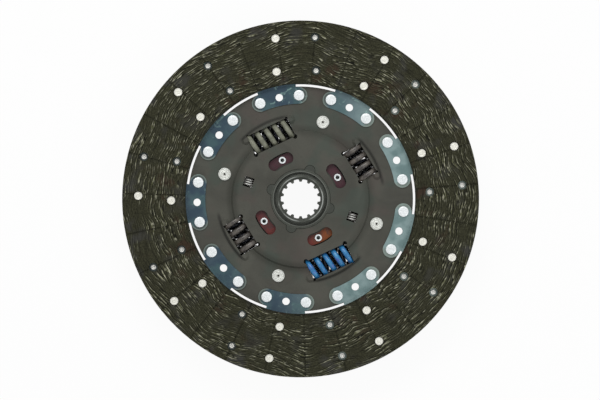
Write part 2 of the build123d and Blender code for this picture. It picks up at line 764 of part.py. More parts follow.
with BuildPart() as splined_hub:
    with BuildSketch(upright(0)):
        outline(
            (0, 0),
            (hub_rear_radius - hub_rear_chamfer, 0),
            (hub_rear_radius, hub_rear_chamfer),
            (hub_rear_radius, journal_rear),
            (hub_journal_radius, journal_rear),
            (hub_journal_radius, ring_rear),
            (hub_ring_radius, ring_rear),
            (hub_ring_radius, ring_front),
            (hub_journal_radius, ring_front),
            (hub_journal_radius, journal_front),
            (hub_nose_radius, journal_front),
            (hub_nose_radius, hub_front - hub_nose_chamfer),
            (hub_nose_radius - hub_nose_chamfer, hub_front),
            (0, hub_front),
        )
    revolve(axis=Axis.Z)
    with BuildSketch(level(ring_rear)):
        ring_teeth(hub_ring_radius - overlap, ring_tooth_radius, ring_tooth_half_angle)
    extrude(amount=ring_front - ring_rear)
    with BuildSketch(level(0)) as spline:
        Circle(spline_major_radius)
        with PolarLocations(0, spline_tooth_count, first_spline_tooth_angle):
            Polygon(
                (spline_minor_radius, -spline_tip_half_width),
                (spline_major_radius + overlap, -spline_root_half_width),
                (spline_major_radius + overlap, spline_root_half_width),
                (spline_minor_radius, spline_tip_half_width),
                align=None,
                mode=Mode.SUBTRACT,
            )
        middle_radius = (spline_minor_radius + spline_major_radius) / 2
        roots = [corner for corner in spline.vertices() if hypot(corner.X, corner.Y) > middle_radius]
        fillet(roots, spline_root_fillet)
    extrude(amount=hub_front, mode=Mode.SUBTRACT)
    entry_radius = spline_major_radius + spline_entry_width
    entry_floor_radius = entry_radius - spline_entry_depth
    with Locations((0, 0, hub_front - spline_entry_depth / 2)):
        Cone(entry_floor_radius, entry_radius, spline_entry_depth, mode=Mode.SUBTRACT)
    with Locations((0, 0, spline_entry_depth / 2)):
        Cone(entry_radius, entry_floor_radius, spline_entry_depth, mode=Mode.SUBTRACT)
finish(splined_hub.part, "splined_hub")
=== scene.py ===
import json
import math

import bmesh
import bpy
from mathutils import Matrix, Vector


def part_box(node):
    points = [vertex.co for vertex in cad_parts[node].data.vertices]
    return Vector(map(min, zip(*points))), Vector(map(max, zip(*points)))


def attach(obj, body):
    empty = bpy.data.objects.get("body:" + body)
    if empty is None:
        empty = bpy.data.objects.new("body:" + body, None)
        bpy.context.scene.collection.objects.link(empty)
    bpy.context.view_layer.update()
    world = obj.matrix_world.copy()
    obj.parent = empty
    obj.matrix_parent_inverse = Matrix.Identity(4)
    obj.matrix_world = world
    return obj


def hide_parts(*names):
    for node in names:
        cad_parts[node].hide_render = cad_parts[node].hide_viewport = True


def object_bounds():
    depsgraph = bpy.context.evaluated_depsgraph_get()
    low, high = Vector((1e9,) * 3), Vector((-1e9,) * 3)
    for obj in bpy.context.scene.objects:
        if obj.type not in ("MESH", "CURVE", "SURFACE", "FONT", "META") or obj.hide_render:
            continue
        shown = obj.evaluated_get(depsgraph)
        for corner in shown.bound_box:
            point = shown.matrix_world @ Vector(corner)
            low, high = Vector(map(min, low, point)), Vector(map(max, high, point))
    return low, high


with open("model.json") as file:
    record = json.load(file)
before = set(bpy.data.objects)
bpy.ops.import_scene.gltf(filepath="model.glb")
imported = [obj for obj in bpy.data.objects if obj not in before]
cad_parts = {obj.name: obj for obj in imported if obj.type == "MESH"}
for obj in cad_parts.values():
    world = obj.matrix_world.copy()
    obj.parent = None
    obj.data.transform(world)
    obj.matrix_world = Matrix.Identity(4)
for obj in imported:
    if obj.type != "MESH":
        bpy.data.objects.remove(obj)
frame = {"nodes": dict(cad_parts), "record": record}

# Looks of the clutch disc. The scene is in metres in the shared frame. The constants, the materials and
# the shapes of the pieces are in millimetres, and what is in metres is marked so. Angles are in degrees,
# anticlockwise from +X as the camera sees the disc. Heights are over the rear end of the hub.
cad_low, cad_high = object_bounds()
nodes = frame["nodes"]

MM = 0.001

# The facing: its bore, its grooves, the groove that hides the seam of its pattern, and the ring where
# the pattern is true to scale
FACING_INNER = 105.0
GROOVES = 27
FIRST_GROOVE = 4.9
SEAM_GROOVE = 13
PATTERN_RADIUS = 134.0

# The cushion segments' feet: how many, the first one's angle, their rivets' ring, how far the rivets
# stand to either side, and the radius, just inside the facing's bore, where the painted highlight on
# their outline ends
SEGMENTS = 9
PITCH = 360 / SEGMENTS
FIRST_FOOT = 21.9
FOOT_RADIUS = 94.6
RIVET_HALF_ANGLE = 11.05
OUTLINE_END = 103.0

# The disc plate: radius of its bend, where shade is painted, and the line of painted shade at the outer
# foot of the windows' hoods, by its radius, its first middle and the angle from one to the next
DISH = 62.7
HOOD_FOOT = 76.4
FIRST_HOOD = 28.0
HOOD_PITCH = 90.0

# Rivets: the ring of the stop pins, the radius past which the facings' rivets lie, and the height of
# the rear rivets' tails
PIN_RING = (64.0, 66.0, 80.0, 82.0)
FACING_RIVETS_FROM = 102.0
TAIL_TOP = 34.6

# The hub's land with its painted highlight and the front bush with its painted highlight line, by
# radius, and the height where the land starts
LAND = (19.6, 20.0, 20.5, 21.0)
LAND_LEVEL = 40.0
BUSH_LINE = 25.1
BUSH_LOBES = 26.8

# A map on the rivets and the springs. On rivets it holds the distance from the piece's own axis,
# divided by OWN_SCALE, and on springs it goes from 0 inside the coil to 1 outside.
OWN_AXIS = "own_axis"
OWN_SCALE = 10.0


def linear(red, green, blue):
    """A colour given as it looks on a screen, 0 to 255, as the shader wants it."""
    parts = []
    for value in (red, green, blue):
        share = value / 255
        parts.append(share / 12.92 if share <= 0.04045 else ((share + 0.055) / 1.055) ** 2.4)
    return (*parts, 1.0)


class Look:
    """One material, with short names for the nodes that it is built from."""

    def __init__(self, name):
        self.material = bpy.data.materials.new(name)
        self.material.use_nodes = True
        self.tree = self.material.node_tree
        self.tree.nodes.clear()
        self.shader = self.tree.nodes.new("ShaderNodeBsdfPrincipled")
        output = self.tree.nodes.new("ShaderNodeOutputMaterial")
        self.tree.links.new(self.shader.outputs[0], output.inputs[0])
        place = self.tree.nodes.new("ShaderNodeTexCoord").outputs["Object"]
        self.place = self.vector("SCALE", place, scale=1 / MM)
        split = self.add("ShaderNodeSeparateXYZ", {0: self.place})
        self.x, self.y, self.z = split.outputs

    def add(self, kind, inputs, **settings):
        node = self.tree.nodes.new(kind)
        for key, value in settings.items():
            setattr(node, key, value)
        for key, value in inputs.items():
            self.feed(node.inputs[key], value)
        return node

    def feed(self, socket, value):
        """Links another node's output to a socket, or sets a plain value there."""
        if isinstance(value, bpy.types.NodeSocket):
            self.tree.links.new(value, socket)
        else:
            socket.default_value = value

    def math(self, operation, *values, clamp=False):
        inputs = dict(enumerate(values))
        return self.add("ShaderNodeMath", inputs, operation=operation, use_clamp=clamp).outputs[0]

    def plus(self, first, second, clamp=False):
        return self.math("ADD", first, second, clamp=clamp)

    def minus(self, first, second):
        return self.math("SUBTRACT", first, second)

    def times(self, first, second):
        return self.math("MULTIPLY", first, second)

    def scaled(self, value, factor, offset):
        """value times factor, plus offset."""
        return self.math("MULTIPLY_ADD", value, factor, offset)

    def away(self, value):
        """value without its sign."""
        return self.math("ABSOLUTE", value)

    def vector(self, operation, *values, scale=None):
        inputs = dict(enumerate(values))
        if scale is not None:
            inputs["Scale"] = scale
        return self.add("ShaderNodeVectorMath", inputs, operation=operation).outputs[0]

    def moved(self, x, y, z):
        """The place in the part, moved, so that a noise there is independent of the others."""
        return self.vector("ADD", self.place, (x, y, z))

    def join(self, x, y, z):
        return self.add("ShaderNodeCombineXYZ", {0: x, 1: y, 2: z}).outputs[0]

    def noise(self, place, scale, detail=2.0, roughness=0.5, distortion=0.0):
        inputs = {"Vector": place, "Scale": scale, "Detail": detail}
        inputs.update({"Roughness": roughness, "Distortion": distortion})
        return self.add("ShaderNodeTexNoise", inputs).outputs["Fac"]

    def step(self, value, low, high):
        """0 at low and before it, 1 at high and past it, and smooth between."""
        inputs = {"Value": value, "From Min": low, "From Max": high}
        return self.add("ShaderNodeMapRange", inputs, interpolation_type="SMOOTHSTEP").outputs[0]

    def band(self, value, low, full_from, full_to, high):
        """1 between the two middle limits, 0 outside the outer two, and smooth between."""
        return self.times(self.step(value, low, full_from), self.step(value, high, full_to))

    def mix(self, share, first, second):
        node = self.tree.nodes.new("ShaderNodeMix")
        node.data_type = "RGBA"
        self.feed(node.inputs[0], share)
        self.feed(node.inputs[6], first)
        self.feed(node.inputs[7], second)
        return node.outputs[2]

    def tint(self, colour, share, strength, other):
        """A colour with some of another one in it, share times strength."""
        return self.mix(self.times(share, strength), colour, other)

    def blend(self, share, low, high):
        """A plain number that goes from low to high with share."""
        return self.scaled(share, high - low, low)

    def radius(self):
        """Distance from the disc's axis."""
        return self.math("SQRT", self.plus(self.times(self.x, self.x), self.times(self.y, self.y)))

    def angle(self, turned=0.0):
        """Angle round the disc, from -180 to 180, counted from the angle turned."""
        side = math.sin(math.radians(turned))
        ahead = math.cos(math.radians(turned))
        x = self.plus(self.times(self.x, ahead), self.times(self.y, side))
        y = self.minus(self.times(self.y, ahead), self.times(self.x, side))
        return self.math("DEGREES", self.math("ARCTAN2", y, x))

    def own_axis(self):
        """What the map OWN_AXIS holds in its first value."""
        own = self.add("ShaderNodeUVMap", {}, uv_map=OWN_AXIS).outputs[0]
        return self.add("ShaderNodeSeparateXYZ", {0: own}).outputs[0]

    def bump(self, height, strength, distance):
        """Relief from a height, whose full range is distance in millimetres."""
        inputs = {"Strength": strength, "Distance": distance * MM, "Height": height}
        self.set(Normal=self.add("ShaderNodeBump", inputs).outputs[0])

    def set(self, **inputs):
        for key, value in inputs.items():
            self.feed(self.shader.inputs[key.replace("_", " ")], value)


def facing_look():
    """Wound friction material: dark resin, with pale yarn in broken wavy lines round the ring, and
    painted shade beside the yarn, in the grooves and along the bore.
    """
    dark_resin, pale_resin = linear(36, 36, 25), linear(64, 64, 48)
    grey_resin, rusty_resin = linear(62, 62, 60), linear(60, 42, 34)
    dark_thread, pale_thread = linear(96, 98, 70), linear(182, 181, 158)
    gap_shade_tone, groove_shade_tone, bore_shade_tone = linear(12, 12, 8), linear(30, 30, 22), linear(20, 22, 17)
    look = Look("wound_friction_material")
    seam = FIRST_GROOVE + SEAM_GROOVE * 360 / GROOVES
    radius = look.radius()
    angle = look.angle(seam - 180)
    along = look.times(angle, math.radians(PATTERN_RADIUS))
    depth = look.plus(radius, look.z)

    def cloth(step_along, step_across, seed, detail=1.5, across=depth):
        """Noise that is stretched along the ring: its features are one over each step long and wide."""
        place = look.join(look.times(along, step_along), look.times(across, step_across), seed)
        return look.noise(place, 1.0, detail)

    lane = look.scaled(cloth(0.021, 0.013, 3.0, 1.0), 26.0, depth)
    lane = look.scaled(cloth(0.075, 0.05, 11.0), 3.5, lane)
    strand = cloth(0.07, 0.95, 1.0, 1.0, lane)
    beside_strand = cloth(0.07, 0.95, 1.0, 1.0, look.plus(lane, 0.65))
    breaks = look.step(cloth(0.16, 0.4, 5.0, 2.0, lane), 0.38, 0.56)
    patches = look.step(cloth(0.045, 0.05, 21.0, 2.0), 0.36, 0.56)
    yarn = look.times(look.step(strand, 0.515, 0.66), look.times(breaks, patches))
    # Painted shade: the gaps beside the yarn turn near black, as if the raised yarn were lit from one
    # side; they are also low in the relief
    shaded_gaps = look.times(look.step(beside_strand, 0.5, 0.6), look.blend(patches, 0.5, 1.0))
    grain = look.noise(look.place, 0.8, 4.0, 0.65)
    resin = look.mix(look.step(grain, 0.3, 0.75), dark_resin, pale_resin)
    grey = look.step(look.noise(look.place, 0.05, 2.0), 0.52, 0.68)
    outward = look.step(radius, 140.0, 160.0)
    grey = look.times(grey, look.scaled(outward, 0.35, 0.45))
    resin = look.mix(grey, resin, grey_resin)
    rust = look.noise(look.moved(300.0, 90.0, 0.0), 0.055, 3.0, 0.6)
    inward = look.step(radius, 150.0, 108.0)
    rust = look.times(look.step(rust, 0.55, 0.68), look.scaled(inward, 0.55, 0.08))
    resin = look.mix(rust, resin, rusty_resin)
    resin = look.tint(resin, shaded_gaps, 0.95, gap_shade_tone)
    thread = look.mix(look.step(cloth(0.3, 0.5, 2.0), 0.35, 0.7), dark_thread, pale_thread)
    colour = look.tint(resin, yarn, 0.9, thread)
    # Painted shade in the grooves, strongest along each groove's middle
    half_pitch = 180 / GROOVES
    across = look.math("WRAP", look.minus(angle, 180.0), half_pitch, -half_pitch)
    across = look.away(look.times(across, look.times(radius, math.radians(1))))
    colour = look.tint(colour, look.step(across, 1.2, 0.4), 0.3, groove_shade_tone)
    # Painted shade along the facing's bore, fading out 3 mm from it
    bore = look.step(radius, FACING_INNER + 3.0, FACING_INNER)
    colour = look.tint(colour, bore, 0.55, bore_shade_tone)
    look.set(Base_Color=colour, Roughness=look.blend(grain, 0.95, 0.75), Specular_IOR_Level=0.12)
    height = look.minus(look.scaled(grain, 0.4, yarn), look.times(shaded_gaps, 0.5))
    look.bump(height, 0.6, 0.35)
    return look.material


def blued_look():
    """Tempered spring steel: deep blue to the left, pale teal to the right, grey past the rivets."""
    deep_blue, pale_blue, teal_tone = linear(54, 70, 82), linear(124, 144, 144), linear(72, 98, 98)
    dark_end, pale_end = linear(74, 80, 75), linear(112, 121, 114)
    edge_highlight_tone, smear_tone, speck = linear(136, 148, 140), linear(140, 172, 164), linear(56, 72, 78)
    look = Look("blued_spring_steel")
    radius = look.radius()
    angle = look.angle()
    drift = look.step(look.scaled(look.y, -0.2, look.x), -10.0, 70.0)
    cloud = look.noise(look.place, 0.05, 3.0, 0.55, 0.8)
    fine = look.noise(look.place, 0.7, 3.0, 0.6)
    share = look.plus(drift, look.scaled(cloud, 0.5, -0.25), clamp=True)
    colour = look.mix(share, deep_blue, pale_blue)
    teal = look.step(look.noise(look.moved(11.0, 60.0, 0.0), 0.06, 2.0), 0.45, 0.62)
    colour = look.tint(colour, teal, 0.5, teal_tone)
    turned = look.math("WRAP", look.minus(angle, FIRST_FOOT), PITCH / 2, -PITCH / 2)
    past_rivets = look.step(look.away(turned), 11.5, 13.8)
    ends = look.mix(drift, dark_end, pale_end)
    colour = look.tint(colour, past_rivets, 0.8, ends)

    # A painted highlight makes the foot's outline, a part of a circle round each rivet, a little paler
    beyond = look.minus(look.away(turned), RIVET_HALF_ANGLE)
    beyond = look.times(beyond, math.radians(FOOT_RADIUS))
    inward = look.minus(radius, FOOT_RADIUS)
    inward = look.times(inward, inward)
    apart = look.math("SQRT", look.scaled(beyond, beyond, inward))
    rim = look.times(look.step(apart, 6.1, 6.9), look.step(beyond, -1.0, 2.0))
    rim = look.times(rim, look.step(radius, OUTLINE_END + 0.5, OUTLINE_END - 0.5))
    colour = look.tint(colour, rim, 0.4, edge_highlight_tone)

    smear = look.noise(look.moved(40.0, 0.0, 9.0), 0.085, 3.0, 0.6, 2.4)
    smear = look.band(smear, 0.60, 0.70, 0.74, 0.86)
    top = look.step(look.y, 60.0, 88.0)
    smear = look.times(smear, look.scaled(top, 0.4, 0.15))
    colour = look.mix(smear, colour, smear_tone)
    colour = look.tint(colour, look.step(fine, 0.56, 0.8), 0.3, speck)
    look.set(Base_Color=colour, Metallic=0.6, Roughness=look.blend(cloud, 0.35, 0.5))
    look.set(Specular_IOR_Level=0.2)
    look.bump(fine, 0.2, 0.05)
    return look.material


def steel_look():
    """Plain steel of the small hidden pieces and the idle springs: two tones in grain and clouds."""
    look = Look("plain_steel")
    clouds = look.noise(look.place, 0.16, 3.0, 0.6)
    fine = look.noise(look.place, 0.8, 4.0, 0.6)
    share = look.plus(look.times(clouds, 0.6), look.times(fine, 0.4))
    colour = look.mix(look.step(share, 0.32, 0.68), linear(190, 191, 186), linear(232, 232, 228))
    look.set(Base_Color=colour, Metallic=0.2, Roughness=look.blend(fine, 0.3, 0.5))
    look.set(Specular_IOR_Level=0.25)
    look.bump(fine, 0.3, 0.05)
    return look.material


def rivet_look():
    """Bright zinc with faint turned rings, greyer on the four stop pins, with painted shade in their
    dimples and a painted highlight on the facing rivets' tails.
    """
    ring_tone, edge_tone = linear(122, 122, 112), linear(120, 122, 118)
    tail_highlight_tone, dimple = linear(255, 255, 250), linear(48, 44, 38)
    look = Look("bright_zinc")
    own = look.times(look.own_axis(), OWN_SCALE)
    radius = look.radius()
    pins = look.band(radius, *PIN_RING)
    facing = look.step(radius, FACING_RIVETS_FROM, FACING_RIVETS_FROM + 2.0)
    fine = look.noise(look.place, 0.9, 4.0, 0.6)
    ring_pitch = 1.5
    ring = look.math("SINE", look.scaled(own, 2 * math.pi / ring_pitch, look.times(fine, 2.0)))
    ring = look.step(ring, 0.1, 0.9)
    plain = look.mix(look.step(fine, 0.35, 0.65), linear(216, 222, 222), linear(242, 246, 248))
    warm = look.mix(look.step(fine, 0.35, 0.65), linear(216, 215, 203), linear(246, 245, 236))
    grey = look.mix(look.step(fine, 0.35, 0.65), linear(192, 194, 187), linear(232, 234, 229))
    colour = look.mix(pins, look.mix(facing, plain, warm), grey)
    strength = look.scaled(pins, 0.28, look.scaled(facing, 0.1, 0.06))
    colour = look.tint(colour, ring, strength, ring_tone)
    edge = look.times(look.step(own, 4.3, 5.9), look.scaled(pins, 0.2, 0.15))
    colour = look.mix(edge, colour, edge_tone)
    # Painted highlight: the tails of the rear facing's rivets, deep in the front facing's holes, are
    # painted whiter than the heads
    tail_highlight = look.times(facing, look.step(look.z, TAIL_TOP + 0.5, TAIL_TOP))
    tail_highlight = look.times(tail_highlight, look.step(look.z, TAIL_TOP - 2.2, TAIL_TOP - 1.8))
    colour = look.mix(tail_highlight, colour, tail_highlight_tone)
    # Painted shade in the stop pins' dimples
    dimple_shade = look.times(look.step(own, 1.15, 0.85), pins)
    colour = look.mix(dimple_shade, colour, dimple)
    look.set(Base_Color=colour, Metallic=0.25, Roughness=look.blend(fine, 0.3, 0.5))
    look.set(Specular_IOR_Level=0.2)
    look.bump(fine, 0.3, 0.05)
    return look.material


def plate_look():
    """Phosphated plate: matt grey, with soft green and brown clouds and a fine mottle."""
    dark_grey, pale_grey = linear(66, 66, 60), linear(78, 78, 71)
    green_tone, brown_tone, speck = linear(62, 73, 66), linear(78, 70, 66), linear(52, 51, 46)
    bend_shade_tone, foot_shade_tone = linear(38, 40, 33), linear(30, 30, 28)
    look = Look("phosphated_plate")
    clouds = look.noise(look.place, 0.03, 3.0, 0.55, 0.6)
    mottle = look.noise(look.place, 0.35, 4.0, 0.65)
    fine = look.noise(look.place, 2.2, 2.0, 0.6)
    colour = look.mix(look.step(clouds, 0.3, 0.7), dark_grey, pale_grey)
    green = look.step(look.noise(look.moved(70.0, 20.0, 0.0), 0.04, 2.0), 0.48, 0.66)
    colour = look.tint(colour, green, 0.5, green_tone)
    brown = look.step(look.noise(look.moved(0.0, 150.0, 5.0), 0.035, 2.0), 0.52, 0.68)
    colour = look.tint(colour, brown, 0.5, brown_tone)
    colour = look.tint(colour, look.step(mottle, 0.55, 0.8), 0.3, speck)
    radius = look.radius()
    angle = look.angle()
    # Painted shade on the slope of the plate's bend, stronger towards the bottom left, where the slope
    # faces away from the light
    bend_shade = look.band(radius, DISH - 7.0, DISH - 1.5, DISH + 1.5, DISH + 7.0)
    lower = look.step(look.plus(look.x, look.y), 70.0, -70.0)
    colour = look.tint(colour, bend_shade, look.scaled(lower, 0.2, 0.3), bend_shade_tone)

    # A line of painted shade at a hood's foot is dark for 15 degrees to either side of its middle, and
    # gone at 20
    foot_shade = look.band(radius, HOOD_FOOT - 2.4, HOOD_FOOT - 0.4, HOOD_FOOT, HOOD_FOOT + 2.4)
    beside = look.math("WRAP", look.minus(angle, FIRST_HOOD), HOOD_PITCH / 2, -HOOD_PITCH / 2)
    near = look.step(look.away(beside), 20.0, 15.0)
    colour = look.tint(colour, look.times(foot_shade, near), 0.7, foot_shade_tone)
    look.set(Base_Color=colour, Roughness=look.blend(mottle, 0.5, 0.7), Specular_IOR_Level=0.2)
    look.bump(look.plus(mottle, look.times(fine, 0.6)), 0.3, 0.05)
    return look.material


def paint_look(name, tones, gloss, coat):
    """Painted spring wire: speckled, with rubbed places and spots, and painted shade on the coils' inner
    sides.
    """
    body, worn_and_highlight, spots, inner_side_shade = tones
    look = Look(name)
    outward = look.own_axis()
    cloud = look.noise(look.place, 0.2, 3.0, 0.6)
    fine = look.noise(look.place, 1.3, 4.0, 0.65)
    share = look.plus(look.times(cloud, 0.5), look.times(fine, 0.5))
    colour = look.mix(look.step(share, 0.38, 0.66), body, worn_and_highlight)
    other = look.step(look.noise(look.moved(9.0, 4.0, 2.0), 0.25, 2.0), 0.56, 0.7)
    colour = look.tint(colour, other, 0.6, spots)
    # Painted shade on the coils' inner sides, with a ragged edge from a fine noise
    edge = look.scaled(fine, 0.16, outward)
    colour = look.mix(look.step(edge, 0.70, 0.92), inner_side_shade, colour)
    look.set(Base_Color=colour, Roughness=look.blend(fine, *gloss), Specular_IOR_Level=0.35)
    look.set(Coat_Weight=coat, Coat_Roughness=0.25)
    look.bump(fine, 0.35, 0.08)
    return look.material


def cover_look():
    """Red-brown lacquer of the plate under the rivet slots: maroon above, orange brown below right."""
    maroon, red_brown, orange_brown = linear(66, 36, 44), linear(104, 44, 38), linear(128, 70, 26)
    cloud_tone, speck = linear(58, 46, 46), linear(40, 26, 26)
    look = Look("red_brown_lacquer")
    clouds = look.noise(look.place, 0.13, 3.0, 0.6, 0.8)
    fine = look.noise(look.place, 1.2, 3.0, 0.6)
    low = look.step(look.y, 10.0, -45.0)
    right = look.step(look.plus(look.x, look.times(clouds, 16.0)), 14.0, 34.0)
    colour = look.mix(low, maroon, red_brown)
    colour = look.tint(colour, low, right, orange_brown)
    colour = look.tint(colour, look.step(clouds, 0.42, 0.66), 0.6, cloud_tone)
    colour = look.tint(colour, look.step(fine, 0.5, 0.8), 0.4, speck)
    look.set(Base_Color=colour, Roughness=look.blend(fine, 0.35, 0.6), Specular_IOR_Level=0.25)
    look.bump(fine, 0.25, 0.05)
    return look.material


def hub_look():
    """Oiled dark forging, with a painted highlight on the narrow ring at the hub's front end."""
    look = Look("dark_forging")
    radius = look.radius()
    clouds = look.noise(look.place, 0.16, 3.0, 0.6)
    fine = look.noise(look.place, 0.6, 4.0, 0.6)
    share = look.plus(look.times(clouds, 0.6), look.times(fine, 0.4))
    colour = look.mix(look.step(share, 0.32, 0.68), linear(58, 61, 56), linear(80, 83, 77))
    # Painted highlight on the land at the hub's front end, made patchy by a noise
    land_highlight = look.band(radius, *LAND)
    land_highlight = look.times(land_highlight, look.step(look.z, LAND_LEVEL, LAND_LEVEL + 0.3))
    worn_and_highlight = look.step(look.noise(look.place, 0.06, 2.0), 0.4, 0.6)
    colour = look.tint(colour, land_highlight, worn_and_highlight, linear(152, 156, 152))
    look.set(Base_Color=colour, Metallic=0.2, Roughness=look.blend(fine, 0.4, 0.6))
    look.set(Specular_IOR_Level=0.25)
    look.bump(fine, 0.3, 0.1)
    return look.material


def bush_look():
    """Dark friction bush with a painted highlight in a line round its bore."""
    look = Look("oiled_bush")
    radius = look.radius()
    fine = look.noise(look.place, 0.9, 4.0, 0.6)
    colour = look.mix(look.step(fine, 0.32, 0.68), linear(56, 59, 53), linear(76, 79, 72))
    lobes = look.step(radius, BUSH_LOBES, BUSH_LOBES + 0.8)
    colour = look.tint(colour, lobes, 0.7, linear(54, 57, 52))
    # Painted highlight in a line round the bush's bore
    line = look.step(radius, BUSH_LINE + 0.4, BUSH_LINE)
    colour = look.mix(line, colour, linear(104, 107, 101))
    look.set(Base_Color=colour, Roughness=look.blend(fine, 0.5, 0.7), Specular_IOR_Level=0.25)
    look.bump(fine, 0.3, 0.05)
    return look.material


# The tones of each paint: its body, where it is worn, its spots, and the painted shade on the coils'
# inner side
OLIVE = (linear(98, 100, 86), linear(142, 144, 128), linear(112, 112, 94), linear(30, 30, 24))
BLUE = (linear(20, 98, 154), linear(62, 142, 192), linear(70, 84, 176), linear(8, 28, 70))
BLACK = (linear(44, 40, 38), linear(104, 98, 90), linear(40, 34, 36), linear(14, 12, 12))
NAVY = (linear(10, 12, 22), linear(26, 28, 40), linear(16, 18, 20), linear(8, 9, 14))
looks = {
    "friction_material": facing_look(),
    "blued_steel": blued_look(),
    "bright_rivets": rivet_look(),
    "phosphated_plate": plate_look(),
    "sintered_bush": bush_look(),
    "plain_steel": steel_look(),
    "olive_spring": paint_look("olive_paint", OLIVE, (0.4, 0.6), 0.0),
    "blue_spring": paint_look("blue_paint", BLUE, (0.25, 0.4), 0.3),
    "black_spring": paint_look("black_paint", BLACK, (0.25, 0.45), 0.3),
    "navy_spring": paint_look("navy_paint", NAVY, (0.4, 0.6), 0.0),
    "dark_forging": hub_look(),
    "red_brown_plate": cover_look(),
}
for part in frame["record"]["subparts"]:
    mesh = nodes[part["node"]].data
    mesh.materials.clear()
    mesh.materials.append(looks[part["material_slot"]])


# Pieces in the scene's own meshes, where the looks need rounder forms than the CAD nodes have
def islands(node):
    """The lowest and highest corner of each separate solid of a CAD node, in order round the disc."""
    shape = bmesh.new()
    shape.from_mesh(nodes[node].data)
    bmesh.ops.remove_doubles(shape, verts=shape.verts, dist=0.001 * MM)
    boxes = []
    waiting = set(shape.verts)
    while waiting:
        start = waiting.pop()
        found = [start]
        border = [start]
        while border:
            for link in border.pop().link_edges:
                for corner in link.verts:
                    if corner in waiting:
                        waiting.discard(corner)
                        found.append(corner)
                        border.append(corner)
        low = Vector([min(corner.co[axis] for corner in found) for axis in range(3)]) / MM
        high = Vector([max(corner.co[axis] for corner in found) for axis in range(3)]) / MM
        boxes.append((low, high))
    shape.free()
    return sorted(boxes, key=lambda box: math.atan2(box[0].y + box[1].y, box[0].x + box[1].x))


def piece(name, shape, slot, body, node):
    """Turns a shape in millimetres into a piece that replaces a CAD node."""
    bmesh.ops.scale(shape, vec=(MM, MM, MM), verts=shape.verts)
    bmesh.ops.recalc_face_normals(shape, faces=shape.faces)
    mesh = bpy.data.meshes.new(name)
    shape.to_mesh(mesh)
    shape.free()
    mesh.materials.append(looks[slot])
    mesh.uv_layers[0].name = OWN_AXIS
    made = bpy.data.objects.new(name, mesh)
    bpy.context.scene.collection.objects.link(made)
    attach(made, body)
    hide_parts(node)


# Edges sharper than SHARP_FROM, in radians, stay sharp in the smooth turned pieces
LATHE_SIDES = 40
SHARP_FROM = 0.7


def turn_on_lathe(shape, profile, middle):
    """Adds the turned form of a profile, pairs of radius and height, standing at middle."""
    layer = shape.loops.layers.uv.verify()
    rings = []
    for radius, height in profile:
        if radius == 0:
            rings.append([shape.verts.new((middle[0], middle[1], height))])
            continue
        ring = []
        for side in range(LATHE_SIDES):
            angle = 2 * math.pi * side / LATHE_SIDES
            x = middle[0] + radius * math.cos(angle)
            y = middle[1] + radius * math.sin(angle)
            ring.append(shape.verts.new((x, y, height)))
        rings.append(ring)
    for lower, upper in zip(rings, rings[1:]):
        for side in range(LATHE_SIDES):
            after = (side + 1) % LATHE_SIDES
            corners = [lower[side % len(lower)], lower[after % len(lower)]]
            corners += [upper[after % len(upper)], upper[side % len(upper)]]
            face = shape.faces.new(list(dict.fromkeys(corners)))
            face.smooth = True
            for loop in face.loops:
                place = loop.vert.co
                own = Vector((place.x - middle[0], place.y - middle[1])).length
                loop[layer].uv = (own / OWN_SCALE, place.z / OWN_SCALE)


def turned_piece(name, node, body, profile):
    """A rivet or pin at every solid of a node. The profile's heights count from its lowest point."""
    shape = bmesh.new()
    for low, high in islands(node):
        middle = ((low.x + high.x) / 2, (low.y + high.y) / 2)
        turn_on_lathe(shape, [(radius, low.z + height) for radius, height in profile], middle)
    shape.normal_update()
    for edge in shape.edges:
        if len(edge.link_faces) == 2 and edge.calc_face_angle() > SHARP_FROM:
            edge.smooth = False
    piece(name, shape, "bright_rivets", body, node)


# Profiles of the rivets and pins: pairs of radius and height, from the rear end to the front end, and
# the other way for the rear facing's rivets. HEAD_SEAT is where a facing rivet's head begins.
HEAD_SEAT = 3.3
FACING_RIVET_HEIGHT = HEAD_SEAT + 0.9
FACING_RIVET = [
    (0, 1.0), (0.7, 0.95), (1.1, 0.5), (1.25, 0.15), (1.5, 0.0), (2.1, 0.0), (2.5, 0.25), (2.5, 0.6),
    (2.0, 0.6), (2.0, HEAD_SEAT), (3.85, HEAD_SEAT), (3.85, HEAD_SEAT + 0.6), (3.6, HEAD_SEAT + 0.87),
    (2.4, HEAD_SEAT + 0.9), (2.1, HEAD_SEAT + 0.78), (1.8, HEAD_SEAT + 0.9), (0.9, HEAD_SEAT + 0.84),
    (0, HEAD_SEAT + 0.8),
]
REAR_FACING_RIVET = [(radius, FACING_RIVET_HEIGHT - height) for radius, height in FACING_RIVET]
SEGMENT_RIVET = [
    (0, 0), (3.9, 0), (4.4, 0.4), (4.4, 1.3), (3.0, 1.3), (3.0, 4.7), (4.85, 4.7), (4.85, 5.3),
    (4.65, 5.8), (4.1, 6.02), (2.6, 6.1), (0, 6.1),
]
STOP_PIN = [
    (0, 0), (5.3, 0), (5.85, 0.5), (5.85, 1.6), (4.0, 1.6), (4.0, 4.1), (5.5, 4.1), (5.5, 17.9),
    (4.0, 17.9), (4.0, 20.4), (5.85, 20.4), (5.85, 21.3), (5.6, 21.8), (5.0, 22.0), (4.3, 22.0),
    (4.0, 21.85), (3.7, 22.0), (2.8, 22.0), (2.5, 21.85), (2.2, 22.0), (0.95, 22.0), (0.8, 21.5),
    (0, 21.4),
]
IDLE_RIVET = [
    (1.7, 0.2), (1.9, 0), (3.0, 0), (3.3, 0.3), (3.3, 1.0), (2.6, 1.0), (2.6, 8.0), (4.2, 8.0),
    (4.2, 10.2), (2.6, 10.2), (2.6, 11.7), (3.3, 11.7), (3.3, 12.2), (3.05, 12.6), (2.6, 12.7),
    (2.1, 12.65), (1.7, 12.2), (1.7, 0.2),
]
